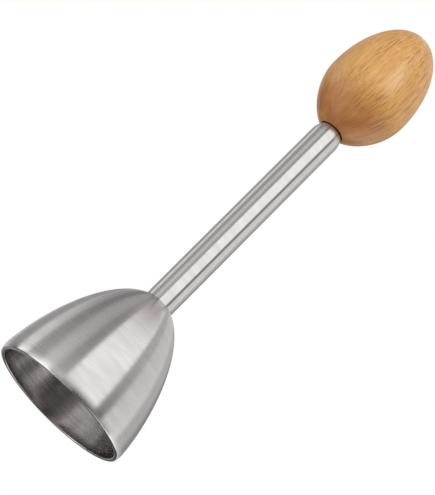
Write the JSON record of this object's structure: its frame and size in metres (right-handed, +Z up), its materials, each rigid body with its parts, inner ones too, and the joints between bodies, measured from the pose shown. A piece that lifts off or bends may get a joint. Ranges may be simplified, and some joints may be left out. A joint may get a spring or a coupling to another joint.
{
  "type": "egg topper",
  "caption": "Spring-snap egg topper: a steel bell sits on the egg, and an egg-shaped wooden knob is pulled up and let go, so that a striker cracks the shell in a circle.",
  "frame": {"origin": "centre of the bell's mouth, on the plane of its rim, on which the tool stands", "axes": "+Z up the axis of the tool, from the mouth of the bell to the tip of the knob; the tool is round about Z, so X and Y are free"},
  "size_m": [0.0378, 0.0378, 0.1351],
  "materials": {
    "bell_steel": "spun stainless steel, brushed finely round the axis",
    "tube_steel": "drawn stainless steel tube, brushed along its length",
    "turned_steel": "turned hardened steel",
    "washer_steel": "stamped stainless steel",
    "screw_steel": "cold-headed stainless steel",
    "rod_steel": "ground and polished stainless steel",
    "spring_steel": "drawn spring steel wire",
    "bush_brass": "turned brass",
    "beech": "turned steamed beech under satin lacquer"
  },
  "bodies": {
    "housing": {"bell": "bell_steel", "crown_washer": "washer_steel", "lock_washer": "spring_steel", "crown_screw": "screw_steel", "anvil_plug": "turned_steel", "handle_tube": "tube_steel", "guide_bush": "bush_brass", "main_spring": "spring_steel"},
    "spring_follower": {"thrust_washer": "washer_steel"},
    "plunger": {"striker": "turned_steel", "striker_pin": "turned_steel", "pull_rod": "rod_steel", "knob_insert": "bush_brass", "egg_knob": "beech"}
  },
  "joints": [
    {"name": "knob_pull", "type": "slide", "parent": "housing", "child": "spring_follower", "axis": [0, 0, 1], "range_m": [0, 0.02], "stiffness_N_per_m": 583, "springref_m": -0.0058, "deforming": ["main_spring"]},
    {"name": "knob_swivel", "type": "hinge", "parent": "spring_follower", "child": "plunger", "pos_m": [0, 0, 0.0565], "axis": [0, 0, 1], "continuous": true}
  ]
}
